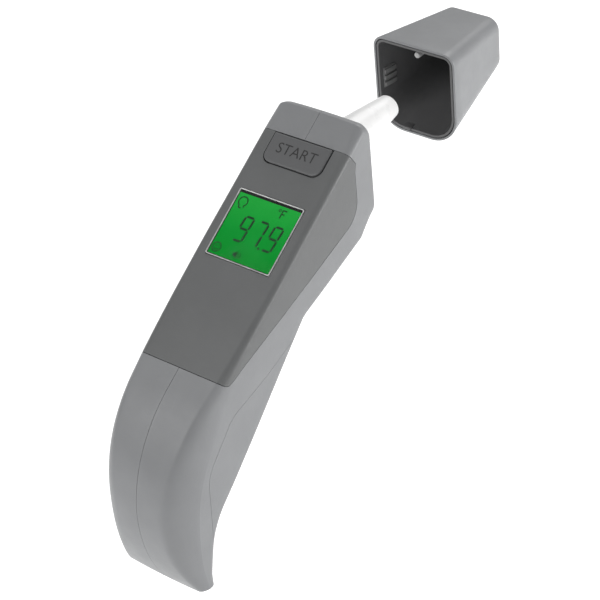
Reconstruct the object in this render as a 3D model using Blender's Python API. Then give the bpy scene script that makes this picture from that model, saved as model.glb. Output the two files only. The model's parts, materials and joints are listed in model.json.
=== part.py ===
"""A digital ear thermometer with its probe cap drawn off, one object for each separate piece.

Metres, +Z up. +X is the user's right, and +Y runs along the probe, away from the user. Inside the
functions, outlines are in millimetres from the datum: the point in the mid plane where the front
cover begins, at the top of the sloping front face.
"""

import math

import bmesh
import bpy
from mathutils import Matrix, Vector

MM = 0.001

# Driving dimensions, in millimetres from the datum.
DATUM = Vector((0, 0.695, 115.52))  # puts the middle of the object's footprint at the world origin
FRONT_SLOPE = 32.7  # degrees below level, from the head down to the handle
RIM_Y = 11.4
RIM_TOP = 4.68
RIM_BOTTOM = -32.0
HALF_WIDTH = 17.2  # at the rim
WALL = 2.0
GAP = 0.3
SPLIT = 0.15  # half of the joint between the two case halves
PROBE_Z = -10.6
PROBE_TIP_Y = 45.0
PROBE_BASE_RADIUS = 7.4
PROBE_TIP_RADIUS = 4.15
MODE_PIN_RISE = 10.7  # the mode plunger and the cap's pin, above the probe's axis
CAP_MOUTH_Y = 59.9
CAP_LENGTH = 35.6
CAP_TAPER_SIDE = 5.4
CAP_TAPER_TOP = 3.8
CAP_TAPER_BOTTOM = 10.9
COVER_LENGTH = 83.4  # front cover, along the front face
WINDOW = (26.0, 24.4)
WINDOW_START = 21.3
BUTTON = (22.6, 10.3)
BUTTON_START = 0.3
CELL_RADIUS = 5.2
CELL_LENGTH = 43.5
CELL_MIDDLE = Vector((0, -59.3, -76.2))  # on the back, behind the middle of the cells
CELL_SLOPE = 44.5

COLOURS = {
    "case_grey": ((0.27, 0.275, 0.28), 0.45, 0.0),
    "cover_grey": ((0.135, 0.138, 0.138), 0.4, 0.0),
    "button_grey": ((0.125, 0.125, 0.127), 0.45, 0.0),
    "liner_black": ((0.03, 0.03, 0.03), 0.6, 0.0),
    "probe_white": ((0.86, 0.86, 0.86), 0.35, 0.0),
    "clear_lens": ((0.75, 0.8, 0.78), 0.1, 0.0),
    "display_green": ((0.01, 0.36, 0.04), 0.3, 0.0),
    "board_green": ((0.02, 0.16, 0.06), 0.5, 0.0),
    "black_plastic": ((0.02, 0.02, 0.02), 0.5, 0.0),
    "steel": ((0.6, 0.6, 0.6), 0.3, 1.0),
    "brass": ((0.7, 0.52, 0.22), 0.35, 1.0),
    "cell_wrap": ((0.08, 0.1, 0.16), 0.35, 0.0),
    "white_plastic": ((0.75, 0.75, 0.73), 0.5, 0.0),
}


# ---------------------------------------------------------------- scene and materials


def clear_scene():
    for thing in list(bpy.data.objects):
        bpy.data.objects.remove(thing, do_unlink=True)


def collection(name):
    made = bpy.data.collections.new(name)
    bpy.context.scene.collection.children.link(made)
    return made


def material(name):
    made = bpy.data.materials.get(name)
    if made:
        return made
    colour, roughness, metallic = COLOURS[name]
    made = bpy.data.materials.new(name)
    made.use_nodes = True
    shader = made.node_tree.nodes["Principled BSDF"]
    shader.inputs["Base Color"].default_value = (*colour, 1)
    shader.inputs["Roughness"].default_value = roughness
    shader.inputs["Metallic"].default_value = metallic
    return made


clear_scene()
PARTS = collection("ear_thermometer")
CUTTERS = collection("cutters")


def empty(name, place=(0, 0, 0), tilt=0.0, parent=None):
    """An empty at a place in millimetres, turned about X by tilt degrees."""
    made = bpy.data.objects.new(name, None)
    made.empty_display_size = 5 * MM
    made.location = Vector(place) * MM
    made.rotation_euler = (math.radians(tilt), 0, 0)
    made.parent = parent
    PARTS.objects.link(made)
    return made


HEAD = empty("datum", DATUM)
# Local Y runs up the front face and local Z stands out of it.
FRONT = empty("front_face", tilt=FRONT_SLOPE, parent=HEAD)
# Local Z runs along the probe, outwards, and local Y is up.
PROBE = empty("probe_axis", (0, RIM_Y, PROBE_Z), -90, HEAD)
# Local Y runs down along the cells, towards the tip, and local Z points out of the back.
CELLS = empty("cell_bay", CELL_MIDDLE, 180 + CELL_SLOPE, HEAD)
CAP = empty("cap_mouth", (0, CAP_MOUTH_Y, 0), 0, HEAD)


# ---------------------------------------------------------------- shapes


def thing(name, mesh, finish=None, parent=None, place=(0, 0, 0)):
    """An object for a mesh in metres. Without a finish it is a cutter."""
    made = bpy.data.objects.new(name, mesh)
    made.parent = parent
    made.location = Vector(place) * MM
    if finish:
        mesh.materials.append(material(finish))
        PARTS.objects.link(made)
    else:
        made.hide_render = True
        made.display_type = "WIRE"
        CUTTERS.objects.link(made)
    return made


def mesh_of(name, work):
    bmesh.ops.recalc_face_normals(work, faces=work.faces)
    mesh = bpy.data.meshes.new(name)
    work.to_mesh(mesh)
    work.free()
    mesh.shade_smooth()
    mesh.set_sharp_from_angle(angle=math.radians(35))
    return mesh


def box(name, size, place, finish=None, parent=None, bevel=0.0):
    """A box of a size in millimetres, centred on place."""
    work = bmesh.new()
    scale = Matrix.Diagonal((*(Vector(size) * MM), 1))
    bmesh.ops.create_cube(work, size=1, matrix=scale)
    if bevel:
        bmesh.ops.bevel(work, geom=work.edges, offset=bevel * MM, segments=2, affect="EDGES", profile=0.5)
    return thing(name, mesh_of(name, work), finish, parent, place)


def rod(name, radius, start, end, place, finish=None, parent=None, axis="Z", sides=32, tip=None):
    """A cylinder, or a cone with another radius at its tip, from start to end along an axis."""
    turn = {"X": Matrix.Rotation(math.pi / 2, 4, "Y"), "Z": Matrix.Identity(4)}[axis]
    along = Matrix.Translation((0, 0, (start + end) / 2 * MM))
    work = bmesh.new()
    bmesh.ops.create_cone(
        work,
        cap_ends=True,
        segments=sides,
        radius1=radius * MM,
        radius2=(radius if tip is None else tip) * MM,
        depth=(end - start) * MM,
        matrix=turn @ along,
    )
    return thing(name, mesh_of(name, work), finish, parent, place)


def turned(name, profile, place, finish=None, parent=None, axis="Z", sides=40):
    """A solid of revolution: profile points are (radius, distance along the axis)."""
    turn = {"X": Matrix.Rotation(math.pi / 2, 4, "Y"), "Z": Matrix.Identity(4)}[axis]
    work = bmesh.new()
    rings = []
    for radius, along in profile:
        angles = [2 * math.pi * i / sides for i in range(sides)]
        points = [turn @ Vector((radius * math.cos(a), radius * math.sin(a), along)) * MM for a in angles]
        rings.append([work.verts.new(p) for p in points])
    for low, high in zip(rings, rings[1:] + rings[:1]):
        for i in range(sides):
            j = (i + 1) % sides
            work.faces.new((low[i], low[j], high[j], high[i]))
    return thing(name, mesh_of(name, work), finish, parent, place)


def loft(name, rings, finish=None, parent=None):
    """A closed body through rings of equally many points, in millimetres."""
    work = bmesh.new()
    rows = [[work.verts.new(Vector(p) * MM) for p in ring] for ring in rings]
    count = len(rows[0])
    for low, high in zip(rows, rows[1:]):
        for i in range(count):
            j = (i + 1) % count
            work.faces.new((low[i], low[j], high[j], high[i]))
    work.faces.new(rows[0])
    work.faces.new(rows[-1])
    return thing(name, mesh_of(name, work), finish, parent)


def rounded(corners, steps=5):
    """An outline of (y, z, radius) corners with each corner turned into an arc."""
    points = []
    for i, (y, z, radius) in enumerate(corners):
        here = Vector((y, z))
        before = Vector(corners[i - 1][:2]) - here
        after = Vector(corners[(i + 1) % len(corners)][:2]) - here
        if not radius:
            points.append(here)
            continue
        half = before.angle(after) / 2
        middle = here + (before.normalized() + after.normalized()).normalized() * radius / math.sin(half)
        first = here + before.normalized() * radius / math.tan(half) - middle
        last = here + after.normalized() * radius / math.tan(half) - middle
        turn = first.angle_signed(last)
        for k in range(steps + 1):
            points.append(middle + Matrix.Rotation(-turn * k / steps, 2) @ first)
    return points


def prism(name, outline, low, high, finish=None, parent=None):
    """A side outline of (y, z) points drawn across from x = low to x = high."""
    return loft(name, [[(x, p[0], p[1]) for p in outline] for x in (low, high)], finish, parent)


def coil(name, radius, wire, turns, start, end, place, finish, parent, sides=12):
    """A compression spring along Z, as a tube round a helix."""
    curve = bpy.data.curves.new(name, "CURVE")
    curve.dimensions = "3D"
    curve.bevel_depth = wire * MM
    curve.bevel_resolution = 1
    curve.use_fill_caps = True
    spline = curve.splines.new("POLY")
    count = int(turns * sides)
    spline.points.add(count)
    for i, point in enumerate(spline.points):
        angle = 2 * math.pi * i / sides
        along = start + (end - start) * i / count
        point.co = (*(Vector((radius * math.cos(angle), radius * math.sin(angle), along)) * MM), 1)
    made = bpy.data.objects.new(name, curve)
    curve.materials.append(material(finish))
    made.parent = parent
    made.location = Vector(place) * MM
    PARTS.objects.link(made)
    return made


def combine(body, cutter, operation="DIFFERENCE", solver="EXACT"):
    """Applies one Boolean now, so that the next one starts from its result."""
    step = body.modifiers.new(operation.lower(), "BOOLEAN")
    step.operation = operation
    step.solver = solver
    step.object = cutter
    bpy.context.view_layer.update()
    graph = bpy.context.evaluated_depsgraph_get()
    made = bpy.data.meshes.new_from_object(body.evaluated_get(graph))
    body.modifiers.remove(step)
    body.data = made
    bpy.data.objects.remove(cutter, do_unlink=True)
    return body


def copy(source, name, finish):
    made = source.copy()
    made.data = source.data.copy()
    made.name = name
    made.data.materials.clear()
    made.data.materials.append(material(finish))
    made.hide_render = False
    made.display_type = "TEXTURED"
    PARTS.objects.link(made)
    return made


# ---------------------------------------------------------------- the case's form


class Path:
    """A line in the side view that runs forward and down, made of straight runs and arcs."""

    def __init__(self, start, slope):
        self.runs = []
        self.point = Vector(start)
        self.slope = slope
        self.length = 0.0

    def go(self, length, turn=0.0):
        """A run of a length over which the slope grows by turn degrees."""
        self.runs.append((self.length, length, self.point.copy(), self.slope, turn))
        self.point = self.at(self.length + length)
        self.slope += turn
        self.length += length

    def at(self, distance):
        """The point at a distance from the start."""
        for begin, length, point, slope, turn in reversed(self.runs):
            if distance >= begin or begin == 0:
                break
        along = distance - begin
        first = math.radians(slope)
        if not turn:
            return point - Vector((math.cos(first), math.sin(first))) * along
        radius = length / math.radians(turn)
        last = first + along / radius
        return point + Vector((math.sin(first) - math.sin(last), math.cos(last) - math.cos(first))) * radius


def arc_length(radius, degrees):
    return radius * math.radians(degrees)


# Front: a short land behind the crest, the straight front face, then the handle's long curve.
front_path = Path((RIM_Y, RIM_TOP), -25)
front_path.go(1.8)
front_path.go(arc_length(1.2, FRONT_SLOPE + 25), FRONT_SLOPE + 25)
CREST = front_path.length
front_path.go(100.3)
front_path.go(arc_length(46, 55.8), 55.8)
front_path.go(arc_length(58, 30), 30)

# Back: under the head, the bend at the neck, the straight back, then the sweep to the tip.
back_path = Path((RIM_Y, RIM_BOTTOM), 18.6)
back_path.go(40)
back_path.go(arc_length(6, 24.4), 24.4)
back_path.go(62)
back_path.go(arc_length(25, 36), 36)
back_path.go(13.6)

DATUM_AT = CREST + 10.2  # distance along the front path to the datum

# Sections across the case: distance along the front, distance along the back, half width, radius of
# the front corner, depth of the crease on the side, and sections up to the next row.
STATIONS = [
    (0.0, 0.0, 17.2, 4.2, 7.0, 1),
    (1.4, 1.5, 17.2, 3.8, 7.0, 1),
    (3.0, 3.0, 17.25, 3.2, 7.0, 2),
    (DATUM_AT, 8.0, 17.35, 2.6, 7.0, 4),
    (DATUM_AT + 40, 27.0, 17.6, 2.4, 8.0, 3),
    (DATUM_AT + 66, 58.0, 17.6, 2.7, 12.0, 2),
    (DATUM_AT + COVER_LENGTH, 80.0, 17.8, 3.4, 14.5, 3),
    (DATUM_AT + 107, 98.0, 17.8, 5.8, 12.0, 3),
    (DATUM_AT + 134, 115.0, 17.3, 9.4, 11.0, 3),
    (DATUM_AT + 152, 128.0, 16.9, 7.2, 7.9, 2),
    (front_path.length, back_path.length, 17.0, 2.4, 3.0, 0),
]
CROWN = 0.5
BACK_RADIUS = 2.6
SIDE_DRAFT = 0.03


def section(front_at, back_at, half, corner, crease, inset=0.0):
    """One closed ring across the case, inset all round by a wall."""
    top = front_path.at(front_at)
    bottom = back_path.at(back_at)
    down = (bottom - top).normalized()
    depth = (bottom - top).length
    rim = 1 - min(front_at / DATUM_AT, 1)
    back_corner = min(BACK_RADIUS + 5.4 * rim, depth / 4)
    crease = min(crease, depth - back_corner - 0.3)
    corner = min(corner, crease - 0.2)
    side = half - SIDE_DRAFT * (crease - corner)
    half_ring = []
    for i in range(4):
        x = (side - corner) * i / 3
        half_ring.append((x, CROWN * (x / side) ** 2))
    drop = CROWN * ((side - corner) / side) ** 2
    for i in range(1, 6):
        angle = math.pi / 2 * i / 5
        x = side - corner + corner * math.sin(angle)
        half_ring.append((x, drop + (corner - drop) * (1 - math.cos(angle))))
    half_ring.append((half, crease))
    for i in range(5):
        angle = math.pi / 2 * i / 4
        x = half - back_corner * (1 - math.cos(angle))
        half_ring.append((x, depth - back_corner * (1 - math.sin(angle))))
    half_ring.append((0, depth))
    shrunk = []
    for x, d in half_ring:
        across = (half - inset) / half
        along = inset + d * (depth - 2 * inset) / depth
        shrunk.append((x * across, along))
    ring = shrunk + [(-x, d) for x, d in reversed(shrunk[1:-1])]
    return [(x, top[0] + down[0] * d, top[1] + down[1] * d) for x, d in ring]


def case_rings(inset=0.0, skip_first=0.0, skip_last=0):
    """The rings of the whole case, or of its hollow when inset by the wall."""
    rings = []
    for row, following in zip(STATIONS, STATIONS[1:] + STATIONS[-1:]):
        for i in range(max(row[5], 1)):
            share = i / max(row[5], 1)
            values = [a + (b - a) * share for a, b in zip(row[:5], following[:5])]
            if values[0] >= skip_first:
                rings.append(section(*values, inset))
    return rings[: len(rings) - skip_last]


def cover_outline(grow=0.0):
    """The front cover's place in the side view. Its wings run back beside the head."""
    slope = math.radians(FRONT_SLOPE)
    down = Vector((-math.cos(slope), -math.sin(slope)))
    out = Vector((-math.sin(slope), math.cos(slope)))
    start = down * -grow
    end = down * (COVER_LENGTH + grow)
    wing = 2.5 + grow
    first = start + out * 6
    last = end + out * 6
    return rounded(
        [
            (*first, 0),
            (*(start - out * 6), 0),
            (wing, -8.1 + grow, 3),
            (wing, -24.0 - grow, 9),
            (-59.5, -44.4 - grow * 1.1, 0),
            (-66.9 - grow, -47.2 - grow, 2.5),
            (*last, 0),
        ]
    )


def door_outline(grow=0.0):
    """The battery door's place in the side view: the whole back of the handle below the neck."""
    return rounded(
        [
            (-27.7 + grow, -46.8 + grow, 0),
            (-49.5, -54.2 + grow, 12),
            (-67.5 - grow * 0.5, -58.6 + grow, 12),
            (-81.2 - grow, -72.6 + grow, 12),
            (-82.6 - grow, -102.6 - grow, 0),
            (-60.0, -128.0, 0),
            (-10.0, -70.0, 0),
        ]
    )


# ---------------------------------------------------------------- parts


def make_case():
    """Both case halves, the front cover and the battery door, cut from one hollow form."""
    case = loft("case_form", case_rings(), None, HEAD)
    hollow = loft("case_hollow", case_rings(WALL, 1.0, 1), None, HEAD)
    combine(case, hollow)
    combine(case, loft("mouth_cut", [rim_ring(1.5, y) for y in (RIM_Y - 6, RIM_Y + 1)], None, HEAD))

    cover = copy(case, "front_cover", "cover_grey")
    combine(cover, prism("cover_area", cover_outline(), -30, 30, None, HEAD), "INTERSECT")
    door = copy(case, "battery_door", "case_grey")
    combine(door, prism("door_area", door_outline(), -30, 30, None, HEAD), "INTERSECT")
    combine(case, prism("cover_seat", cover_outline(GAP), -30, 30, None, HEAD))
    combine(case, prism("door_seat", door_outline(GAP), -30, 30, None, HEAD))

    for name, low, high in (("left_case", -30, -SPLIT), ("right_case", SPLIT, 30)):
        half = copy(case, name, "case_grey")
        slab = box("half_space", (high - low, 300, 300), ((low + high) / 2, 0, -50), None, HEAD)
        combine(half, slab, "INTERSECT", "MANIFOLD")
        add_bosses(half, -1 if low < 0 else 1)
    bpy.data.objects.remove(case, do_unlink=True)
    return cover


SCREWS = [(-4.0, -31.2), (-33.0, -43.2), (-89.0, -99.0)]


def add_bosses(half, side):
    """Screw posts that stand in from the side wall to the joint, with a hole down each."""
    for y, z in SCREWS:
        low, high = sorted((side * 0.15, side * (HALF_WIDTH - 0.9)))
        combine(half, rod("post", 2.7, low, high, (0, y, z), None, HEAD, "X", 20), "UNION")
        low, high = sorted((side * -2, side * 9))
        combine(half, rod("pilot", 1.25, low, high, (0, y, z), None, HEAD, "X", 16))
        if side < 0:
            combine(half, rod("through", 1.25, -12, 0, (0, y, z), None, HEAD, "X", 16))
            combine(half, rod("recess", 2.1, -20, -8.5, (0, y, z), None, HEAD, "X", 20))


def make_screws():
    """Case screws, driven from the left: a pan head in the recess and a shank into the right post."""
    for i, (y, z) in enumerate(SCREWS):
        head = [(0.05, -10.2), (1.2, -10.2), (1.7, -9.8), (1.7, -8.9)]
        shank = [(0.9, -8.85), (0.9, 7.2), (0.05, 8.2)]
        turned(f"case_screw_{i + 1}", head + shank, (0, y, z), "steel", HEAD, "X", 20)


def make_cover_openings(cover):
    """The display window and the button's slot."""
    wide, tall = WINDOW
    middle = (0, -WINDOW_START - tall / 2, 0)
    combine(cover, box("window_cut", (wide, tall, 20), middle, None, FRONT))
    wide, tall = BUTTON
    low = BUTTON_START + tall + 0.35
    combine(cover, box("button_cut", (wide + 0.7, low + 4, 20), (0, 2 - low / 2, 0), None, FRONT, 0.5))


def make_display():
    """The clear window, and behind it the holder, the glass cell and its light panel."""
    wide, tall = WINDOW
    middle = -WINDOW_START - tall / 2
    box("display_window", (wide - 0.7, tall - 0.7, 0.6), (0, middle, -0.4), "clear_lens", FRONT, 0.15)
    holder = box("display_holder", (26.8, 26.4, 5.2), (0, middle, -6.6), "black_plastic", FRONT)
    combine(holder, box("holder_cut", (24.0, 22.6, 20), (0, middle, -6.6), None, FRONT))
    box("display_glass", (24.8, 23.2, 1.9), (0, middle, -1.9), "display_green", FRONT)
    box("display_light", (23.2, 21.8, 2.4), (0, middle, -4.6), "white_plastic", FRONT)
    box("main_board", (27.0, 62.0, 1.2), (0, -33.0, -10.2), "board_green", FRONT)
    box("display_connector", (18.0, 3.0, 1.6), (0, -60.0, -8.4), "black_plastic", FRONT)
    box("processor", (9.0, 9.0, 1.4), (-3.0, -27.0, -11.8), "black_plastic", FRONT)
    rod("buzzer", 4.6, -14.9, -11.1, (6.0, -54.0, 0), "black_plastic", FRONT, "Z", 28)


def make_button():
    """The start button stands in its slot on a skirt, over a tact switch."""
    wide, tall = BUTTON
    middle = -BUTTON_START - tall / 2
    button = box("start_button", (wide, tall, 3.2), (0, middle, -1.45), "button_grey", FRONT, 0.6)
    skirt = box("skirt", (wide + 1.6, tall + 1.2, 1.0), (0, middle - 0.5, -3.4), None, FRONT)
    combine(button, skirt, "UNION")
    stem = rod("stem", 1.4, -4.9, -3.7, (0, middle, 0), None, FRONT, "Z", 16)
    combine(button, stem, "UNION")
    box("start_switch", (6.2, 6.2, 2.7), (0, middle, -7.95), "black_plastic", FRONT)
    rod("switch_plunger", 1.5, -6.3, -5.2, (0, middle, 0), "white_plastic", FRONT, "Z", 20)


def rim_ring(inset, y):
    """The rim's outline moved in all round, in a plane across the probe."""
    return [(p[0], y, p[2]) for p in section(*STATIONS[0][:5], inset)]


def make_probe():
    """The collar that closes the head, the white probe and the sensing parts inside it."""
    plate = [rim_ring(1.85, RIM_Y - 3.5), rim_ring(1.85, RIM_Y - 0.2)]
    collar = loft("probe_collar", plate, "case_grey", HEAD)
    lip = [(2.7, RIM_Y - 1.5), (2.7, RIM_Y + 1.0), (3.0, RIM_Y + 1.3)]
    lip_rings = [[(x, y, z) for x, _, z in cap_ring(inset, 0)] for inset, y in lip]
    combine(collar, loft("lip", lip_rings, None, HEAD), "UNION")
    combine(collar, box("tab_notch", (4.2, 4.0, 2.8), (-4.0, RIM_Y + 0.8, RIM_BOTTOM + 3.9), None, HEAD))
    combine(collar, rod("collar_hole", PROBE_BASE_RADIUS + 0.5, -9, 9, (0, 0, 0), None, PROBE, "Z", 40))
    combine(collar, rod("mode_hole", 1.45, -9, 9, (0, MODE_PIN_RISE, 0), None, PROBE, "Z", 20))

    length = PROBE_TIP_Y - RIM_Y
    base = PROBE_BASE_RADIUS
    tip = PROBE_TIP_RADIUS
    profile = [
        (base - 1.3, -5.4),
        (base + 1.2, -5.4),
        (base + 1.2, -3.9),
        (base, -3.9),
        (base, 0.0),
        (tip + 0.25, length - 2.2),
        (tip - 0.25, length - 0.7),
        (tip - 0.9, length - 0.05),
        (tip - 1.3, length),
        (tip - 1.3, length - 1.1),
        (tip - 1.0, length - 1.2),
        (base - 1.3, 0.0),
    ]
    turned("probe_cone", profile, (0, 0, 0), "probe_white", PROBE, "Z", 56)
    film = ring_profile(0.0, tip - 1.65, length - 1.0, length - 0.4)
    turned("probe_filter", film, (0, 0, 0), "clear_lens", PROBE)
    tube = [(1.7, 1.0), (2.3, 1.0), (2.3, length - 1.6), (1.7, length - 1.6)]
    turned("waveguide", tube, (0, 0, 0), "brass", PROBE, "Z", 28)
    turned("sensor_can", ring_profile(0.0, 2.9, -3.4, 0.6), (0, 0, 0), "steel", PROBE, "Z", 32)
    holder = [(3.25, -4.2), (5.6, -4.2), (5.6, 0.8), (4.6, 9.0), (2.65, 9.0), (2.65, 0.95), (3.25, 0.95)]
    turned("sensor_holder", holder, (0, 0, 0), "brass", PROBE, "Z", 32)
    rod("sensor_board", 5.6, -6.9, -5.8, (0, 0, 0), "board_green", PROBE, "Z", 28)
    box("mode_switch", (5.4, 3.4, 5.0), (0, MODE_PIN_RISE, -7.4), "black_plastic", PROBE)
    profile = ring_profile(0.0, 1.2, -4.4, 1.9)
    turned("mode_plunger", profile, (0, MODE_PIN_RISE, 0), "white_plastic", PROBE, "Z", 20)


def ring_profile(inner, outer, low, high):
    """A disc or ring between two distances along the axis, with its edge just broken."""
    inner = max(inner, 0.02)
    edge = 0.15
    lower = [(inner, low), (outer - edge, low), (outer, low + edge)]
    return lower + [(outer, high - edge), (outer - edge, high), (inner, high)]


def cap_ring(inset, along):
    """The cap's outline at a distance from its mouth."""
    share = along / CAP_LENGTH
    half = HALF_WIDTH - 0.7 - CAP_TAPER_SIDE * share - inset
    top = RIM_TOP + 0.2 - CAP_TAPER_TOP * share - inset
    bottom = RIM_BOTTOM + 1.9 + CAP_TAPER_BOTTOM * share + inset
    upper = 4.4 - inset
    lower = 11.0 - 5.5 * share - inset
    outline = rounded(
        [(-half, bottom, lower), (half, bottom, lower), (half, top, upper), (-half, top, upper)], 6
    )
    return [(p[0], along, p[1]) for p in outline]


def make_cap():
    """The cap: an outer shell, a dark liner with snap ribs, and the pin that works the mode switch."""
    stops = [(0, 0), (0, CAP_LENGTH - 1.2), (0.4, CAP_LENGTH - 0.3), (0.9, CAP_LENGTH)]
    shell = loft("cap_shell", [cap_ring(inset, along) for inset, along in stops], "case_grey", CAP)
    combine(shell, loft("shell_hollow", [cap_ring(0.8, -1), cap_ring(0.8, CAP_LENGTH - 0.9)], None, CAP))
    liner = loft("cap_liner", [cap_ring(1.1, 0.1), cap_ring(1.1, CAP_LENGTH - 1.2)], "liner_black", CAP)
    combine(liner, loft("liner_hollow", [cap_ring(2.0, -1), cap_ring(2.0, CAP_LENGTH - 1.9)], None, CAP))
    middle = (RIM_TOP + RIM_BOTTOM) / 2
    for side in (-1, 1):
        for k in (-1, 0, 1):
            inner = HALF_WIDTH - 2.7 - CAP_TAPER_SIDE * 4.8 / CAP_LENGTH
            rib = box("rib", (1.2, 6.2, 1.1), (side * (inner - 0.2), 4.8, middle + 2.2 * k), None, CAP)
            rib.rotation_euler = (0, 0, side * math.atan(CAP_TAPER_SIDE / CAP_LENGTH))
            combine(liner, rib, "UNION")
    pin_z = PROBE_Z + MODE_PIN_RISE
    web = box("pin_web", (1.4, 18.0, 3.0), (0, 14.0, pin_z + 0.5), None, CAP)
    web.rotation_euler = (-math.atan(CAP_TAPER_TOP / CAP_LENGTH), 0, 0)
    combine(liner, web, "UNION")
    combine(liner, box("tab", (3.0, 3.0, 1.1), (-4.0, 0.7, RIM_BOTTOM + 4.1), None, CAP), "UNION")
    combine(liner, box("pin_slot", (4.0, 8.6, 4.6), (0, 3.3, pin_z), None, CAP))
    pin = turned("cap_mode_pin", ring_profile(0.0, 1.1, 2.0, 7.3), (0, 0, 0), "white_plastic", CAP, "Z", 20)
    pin.rotation_euler = (math.radians(-90), 0, 0)
    pin.location = Vector((0, 0, pin_z)) * MM


def make_power():
    """Two AAA cells in a tray behind the door, with their contacts and springs."""
    depth = -10.8
    tray = box("battery_tray", (25.4, 57.4, 12.8), (0, 0, depth - 0.5), "black_plastic", CELLS)
    combine(tray, box("tray_cut", (22.8, 54.8, 14.0), (0, 0, depth + 1.4), None, CELLS))
    shift = 1.5
    low = shift - CELL_LENGTH / 2
    high = shift + CELL_LENGTH / 2
    nub = 0.9
    for side, name in ((-1, "left"), (1, "right")):
        place = (side * 5.6, 0, depth)
        profile = [
            (0.05, low),
            (CELL_RADIUS - 0.3, low),
            (CELL_RADIUS, low + 0.3),
            (CELL_RADIUS, high - 0.3 - nub),
            (CELL_RADIUS - 0.3, high - nub),
            (1.9, high - nub),
            (1.7, high),
            (0.05, high),
        ]
        facing = [(radius, along * side) for radius, along in profile]
        cell = turned(f"cell_{name}", facing, place, "cell_wrap", CELLS)
        cell.rotation_euler = (math.radians(-90), 0, 0)
        first, last = sorted((side * -20.55, side * -25.6))
        spring = coil(f"contact_spring_{name}", 2.6, 0.35, 3.5, first, last, place, "steel", CELLS)
        spring.rotation_euler = (math.radians(-90), 0, 0)
    box("contact_bridge", (20.4, 0.5, 8.0), (0, -26.75, depth), "steel", CELLS)
    for side, name in ((-1, "left"), (1, "right")):
        box(f"contact_plate_{name}", (9.4, 0.5, 8.0), (side * 5.6, 26.75, depth), "steel", CELLS)


def main():
    cover = make_case()
    make_cover_openings(cover)
    make_screws()
    make_display()
    make_button()
    make_probe()
    make_cap()
    make_power()


main()
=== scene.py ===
"""The looks of the ear thermometer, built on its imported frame.

Metres and +Z up, as in the frame. Outlines are in millimetres from the datum: the point in the mid
plane where the front cover begins, at the top of the sloping front face.
"""

import json
import math

import bmesh
import bpy
from mathutils import Matrix, Vector

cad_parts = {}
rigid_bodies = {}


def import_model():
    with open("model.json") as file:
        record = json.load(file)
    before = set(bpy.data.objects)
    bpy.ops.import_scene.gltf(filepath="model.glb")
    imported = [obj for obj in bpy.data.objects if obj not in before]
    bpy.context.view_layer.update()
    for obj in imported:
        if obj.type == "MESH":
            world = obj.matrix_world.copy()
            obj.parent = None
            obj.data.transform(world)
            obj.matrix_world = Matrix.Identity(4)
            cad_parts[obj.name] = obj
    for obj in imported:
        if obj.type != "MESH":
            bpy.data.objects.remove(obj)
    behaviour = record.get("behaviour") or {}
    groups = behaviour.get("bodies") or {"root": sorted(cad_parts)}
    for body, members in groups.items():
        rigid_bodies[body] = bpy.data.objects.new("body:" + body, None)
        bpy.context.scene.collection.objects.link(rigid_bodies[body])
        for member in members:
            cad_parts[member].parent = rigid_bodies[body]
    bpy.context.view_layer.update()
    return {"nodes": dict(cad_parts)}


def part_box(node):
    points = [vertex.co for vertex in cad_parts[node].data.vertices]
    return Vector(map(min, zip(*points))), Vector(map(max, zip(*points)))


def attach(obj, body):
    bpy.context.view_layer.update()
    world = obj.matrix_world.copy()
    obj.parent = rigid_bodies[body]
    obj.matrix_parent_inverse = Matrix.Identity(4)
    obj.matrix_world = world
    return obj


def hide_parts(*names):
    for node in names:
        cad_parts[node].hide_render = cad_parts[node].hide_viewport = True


for thing in list(bpy.data.objects):
    bpy.data.objects.remove(thing, do_unlink=True)
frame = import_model()

MM = 0.001
DATUM = Vector((0, 0.695, 115.52))  # in the frame
SLOPE = math.radians(32.7)  # of the front face
DOWN = Vector((0, -math.cos(SLOPE), -math.sin(SLOPE)))  # down the front face
OUT = Vector((0, -math.sin(SLOPE), math.cos(SLOPE)))  # out of it
RIM_Y = 11.4
RIM_TOP = 4.68
RIM_BOTTOM = -32.0
RIM_HALF = 17.2
PROBE_Z = -10.6
PROBE_BASE = 7.4  # radius
PROBE_TIP = 4.15  # radius
PROBE_LENGTH = 33.6
MODE_PIN_Z = PROBE_Z + 10.7  # the pin in the cap, and the small hole in the collar
CAP_MOUTH_Y = 59.9
CAP_LENGTH = 35.6
CAP_TAPER_SIDE = 5.4
CAP_TAPER_TOP = 3.8
CAP_TAPER_BOTTOM = 10.9
COVER_LENGTH = 83.4
WINDOW = (26.0, 24.4)  # width, and length down the face
WINDOW_START = 21.3
BUTTON = (22.6, 10.3)
BUTTON_START = 0.3
WALL = 2.0
GAP = 0.15  # round the front cover
DOOR_GAP = 0.1
SEAM = 0.06  # half of the joint between the case halves


# ---------------------------------------------------------------- meshes


def thing_of(name, work, smooth=32.0):
    """An object for a bmesh in millimetres from the datum."""
    bmesh.ops.transform(work, matrix=Matrix.Translation(DATUM), verts=work.verts)
    bmesh.ops.scale(work, vec=(MM, MM, MM), verts=work.verts)
    bmesh.ops.recalc_face_normals(work, faces=work.faces)
    mesh = bpy.data.meshes.new(name)
    work.to_mesh(mesh)
    work.free()
    made = bpy.data.objects.new(name, mesh)
    bpy.context.scene.collection.objects.link(made)
    shade(made, smooth)
    return made


def shade(made, angle=32.0):
    """Smooth shading, with edges sharper than an angle in degrees left sharp."""
    made.data.shade_smooth()
    made.data.set_sharp_from_angle(angle=math.radians(angle))


def loft(name, rings, smooth=32.0):
    """A closed body through rings of equally many points."""
    work = bmesh.new()
    rows = [[work.verts.new(Vector(p)) for p in ring] for ring in rings]
    count = len(rows[0])
    for low, high in zip(rows, rows[1:]):
        for i in range(count):
            j = (i + 1) % count
            work.faces.new((low[i], low[j], high[j], high[i]))
    work.faces.new(rows[0])
    work.faces.new(rows[-1])
    return thing_of(name, work, smooth)


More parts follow.
